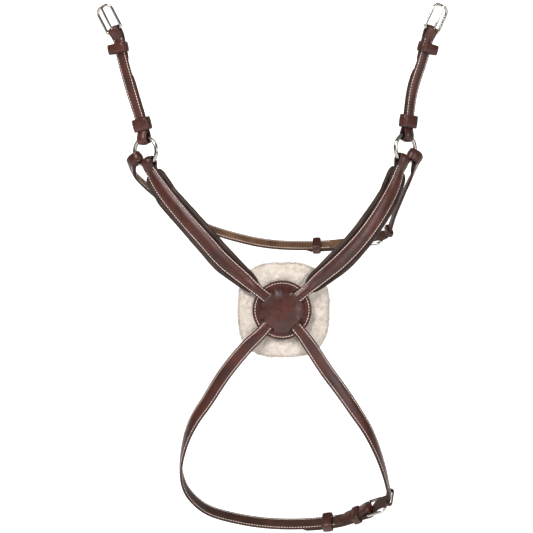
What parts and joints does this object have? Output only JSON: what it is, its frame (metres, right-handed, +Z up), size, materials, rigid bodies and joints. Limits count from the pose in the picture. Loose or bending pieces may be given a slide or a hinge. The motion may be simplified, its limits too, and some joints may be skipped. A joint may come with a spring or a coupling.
{
  "type": "crossed noseband",
  "caption": "Crossed (figure-eight) bridle noseband in stitched leather: a sheepskin-backed nose rosette, padded nose straps, ring-hung cheek straps, and buckled jowl and chin straps",
  "frame": {"origin": "centre of the nose rosette, where it bears on the middle of the nose", "axes": "+X to the right of someone facing the horse, +Y back from the nose towards the jaw, +Z up"},
  "size_m": [0.359, 0.1543, 0.5453],
  "materials": {
    "strap_leather": "smooth waxed bridle leather",
    "lining_leather": "soft matt padded leather",
    "rosette_leather": "smooth waxed bridle leather",
    "keeper_leather": "smooth waxed bridle leather",
    "sheepskin": "clipped wool fleece",
    "steel": "polished stainless steel"
  },
  "bodies": {
    "cheeks": {"cheek_keeper_lower_left": "keeper_leather", "cheek_keeper_lower_right": "keeper_leather", "cheek_keeper_upper_left": "keeper_leather", "cheek_keeper_upper_right": "keeper_leather", "cheek_strap_left": "strap_leather", "cheek_strap_right": "strap_leather"},
    "cheek_buckle_left": {"cheek_buckle_left": "steel"},
    "cheek_buckle_right": {"cheek_buckle_right": "steel"},
    "cheek_tongue_left": {"cheek_tongue_left": "steel"},
    "cheek_tongue_right": {"cheek_tongue_right": "steel"},
    "front": {"chin_billet_root": "strap_leather", "chin_strap_root": "strap_leather", "jowl_billet_root": "strap_leather", "jowl_strap_root": "strap_leather", "nose_lining_left": "lining_leather", "nose_lining_right": "lining_leather", "nose_pad": "sheepskin", "nose_strap_left": "strap_leather", "nose_strap_right": "strap_leather", "rosette": "rosette_leather", "rosette_backing": "rosette_leather"},
    "ring_left": {"ring_left": "steel"},
    "ring_right": {"ring_right": "steel"},
    "jowl": {"jowl_strap": "strap_leather", "jowl_billet": "strap_leather", "jowl_buckle": "steel", "jowl_keeper": "keeper_leather", "jowl_front_keeper": "keeper_leather"},
    "jowl_tongue": {"jowl_tongue": "steel"},
    "jowl_runner": {"jowl_runner": "keeper_leather"},
    "chin": {"chin_strap": "strap_leather", "chin_billet": "strap_leather", "chin_buckle": "steel", "chin_keeper": "keeper_leather", "chin_front_keeper": "keeper_leather"},
    "chin_tongue": {"chin_tongue": "steel"},
    "chin_runner": {"chin_runner": "keeper_leather"}
  },
  "joints": [
    {"name": "cheek_buckle_left_swing", "type": "hinge", "parent": "cheeks", "child": "cheek_buckle_left", "pos_m": [-0.1704, 0.05, 0.2846], "axis": [0.7752, -0.4903, 0.3983], "range_deg": [-30, 30]},
    {"name": "cheek_tongue_left_lift", "type": "hinge", "parent": "cheek_buckle_left", "child": "cheek_tongue_left", "pos_m": [-0.1704, 0.05, 0.2846], "axis": [0.7752, -0.4903, 0.3983], "range_deg": [0, 80]},
    {"name": "cheek_buckle_right_swing", "type": "hinge", "parent": "cheeks", "child": "cheek_buckle_right", "pos_m": [0.1524, 0.047, 0.2846], "axis": [0.7584, 0.5601, -0.3333], "range_deg": [-30, 30]},
    {"name": "cheek_tongue_right_lift", "type": "hinge", "parent": "cheek_buckle_right", "child": "cheek_tongue_right", "pos_m": [0.1524, 0.047, 0.2846], "axis": [0.7584, 0.5601, -0.3333], "range_deg": [0, 80]},
    {"name": "front_swing", "type": "hinge", "parent": "cheeks", "child": "front", "pos_m": [-0.00657, 0.04969, 0.17626], "axis": [0.9999, -0.0105, 0.0112], "range_deg": [-8, 8]},
    {"name": "ring_left_turn", "type": "hinge", "parent": "front", "child": "ring_left", "pos_m": [-0.139, 0.05, 0.161], "axis": [-0.5708, -0.8211, 0], "continuous": true},
    {"name": "ring_right_turn", "type": "hinge", "parent": "front", "child": "ring_right", "pos_m": [0.126, 0.047, 0.164], "axis": [0.6606, -0.7507, 0], "continuous": true},
    {"name": "jowl_flex", "type": "hinge", "parent": "front", "child": "jowl", "pos_m": [-0.00686, 0.07674, 0.13594], "axis": [0.9999, -0.0106, 0.0024], "range_deg": [-15, 15], "stiffness_Nm_per_rad": 0.5},
    {"name": "chin_flex", "type": "hinge", "parent": "front", "child": "chin", "pos_m": [-0.0044, 0.00307, -0.05001], "axis": [0.9997, -0.0263, -0.0007], "range_deg": [-15, 15], "stiffness_Nm_per_rad": 0.8},
    {"name": "jowl_tongue_lift", "type": "hinge", "parent": "jowl", "child": "jowl_tongue", "pos_m": [0.086, 0.117, 0.0725], "axis": [0.1886, 0.6757, 0.7127], "range_deg": [0, 5]},
    {"name": "jowl_runner_slide", "type": "slide", "parent": "jowl", "child": "jowl_runner", "axis": [0.9894, -0.1401, 0.0383], "range_m": [-0.006, 0.006]},
    {"name": "chin_tongue_lift", "type": "hinge", "parent": "chin", "child": "chin_tongue", "pos_m": [0.089, 0.0745, -0.2065], "axis": [0.0843, 0.7384, 0.6691], "range_deg": [0, 5]},
    {"name": "chin_runner_slide", "type": "slide", "parent": "chin", "child": "chin_runner", "axis": [0.9568, -0.2414, 0.162], "range_m": [-0.006, 0.006]}
  ]
}
